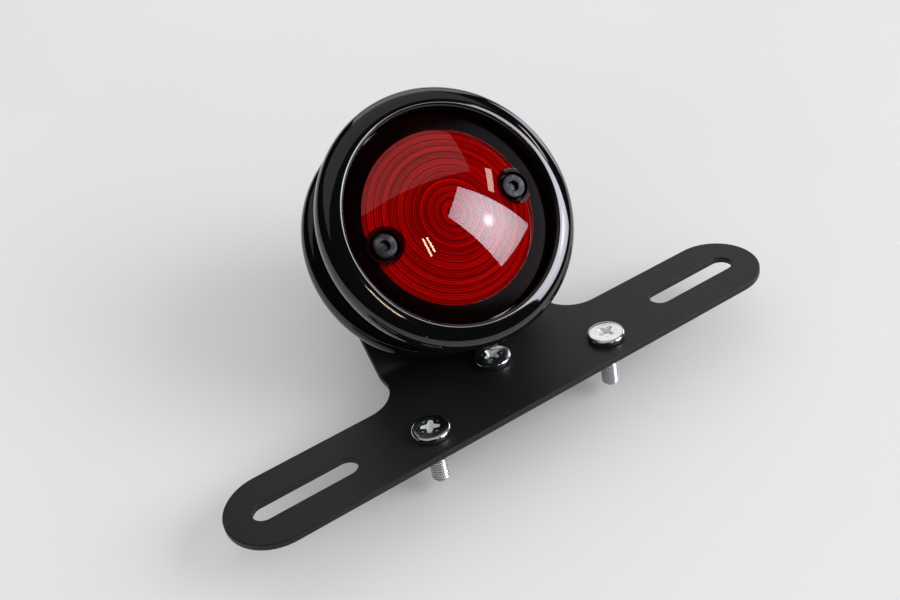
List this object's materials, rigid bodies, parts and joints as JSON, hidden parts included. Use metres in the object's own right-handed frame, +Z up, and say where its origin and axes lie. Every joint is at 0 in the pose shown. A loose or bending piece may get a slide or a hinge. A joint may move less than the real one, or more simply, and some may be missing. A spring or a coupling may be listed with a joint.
{
  "type": "motorcycle tail light",
  "caption": "Round red-lens tail light with rolled black rings, on a folded steel bracket with slotted ends.",
  "frame": {"origin": "middle of the underside of the light as it lies on a bench", "axes": "+X along the bracket bar, +Z up as it lies, lens looking towards -Y and up"},
  "size_m": [0.2074, 0.1138, 0.0919],
  "materials": {
    "satin_black_steel": "satin black powder coat",
    "gloss_black": "deep gloss black enamel",
    "red_lens": "polished transparent red moulding",
    "rubber": "matt black moulded rubber",
    "silvered_reflector": "bright silvered pressing",
    "plated_brass": "nickel-plated brass pressing",
    "phenolic_board": "brown phenolic board",
    "spring_steel": "drawn spring wire",
    "clear_glass": "clear blown glass",
    "tungsten": "drawn tungsten coil",
    "black_oxide": "blackened steel",
    "bright_zinc": "bright zinc plate"
  },
  "bodies": {
    "root": {"base_pad": "rubber", "bolt_nut_left": "bright_zinc", "bolt_nut_right": "bright_zinc", "bolt_nut_top": "bright_zinc", "bolt_washer_left": "bright_zinc", "bolt_washer_right": "bright_zinc", "bolt_washer_top": "bright_zinc", "bracket": "satin_black_steel", "bracket_screw_centre": "bright_zinc", "bracket_screw_left": "bright_zinc", "bracket_screw_right": "bright_zinc", "contact_spring": "spring_steel", "front_ring": "gloss_black", "housing": "gloss_black", "lens": "red_lens", "lens_gasket": "rubber", "lens_screw_left": "black_oxide", "lens_screw_right": "black_oxide", "mounting_bolt_left": "bright_zinc", "mounting_bolt_right": "bright_zinc", "mounting_bolt_top": "bright_zinc", "reflector": "silvered_reflector", "socket_rivet_high": "plated_brass", "socket_rivet_low": "plated_brass", "socket_shell": "plated_brass", "wire_grommet": "rubber"},
    "plunger": {"plunger_disc": "phenolic_board", "contact_stop": "plated_brass", "contact_tail": "plated_brass"},
    "bulb": {"bulb_base": "plated_brass", "bulb_glass": "clear_glass", "bulb_stem": "clear_glass", "filament_stop": "tungsten", "filament_tail": "tungsten"}
  },
  "joints": [
    {"name": "plunger_push", "type": "slide", "parent": "root", "child": "plunger", "axis": [0, -0.5779, 0.8161], "range_m": [-0.0018, 0], "stiffness_N_per_m": 3000, "springref_m": 0.0015, "deforming": ["contact_spring"]},
    {"name": "bulb_twist", "type": "hinge", "parent": "plunger", "child": "bulb", "pos_m": [0, 0.00818, 0.04879], "axis": [0, -0.5779, 0.8161], "range_deg": [0, 20]}
  ]
}
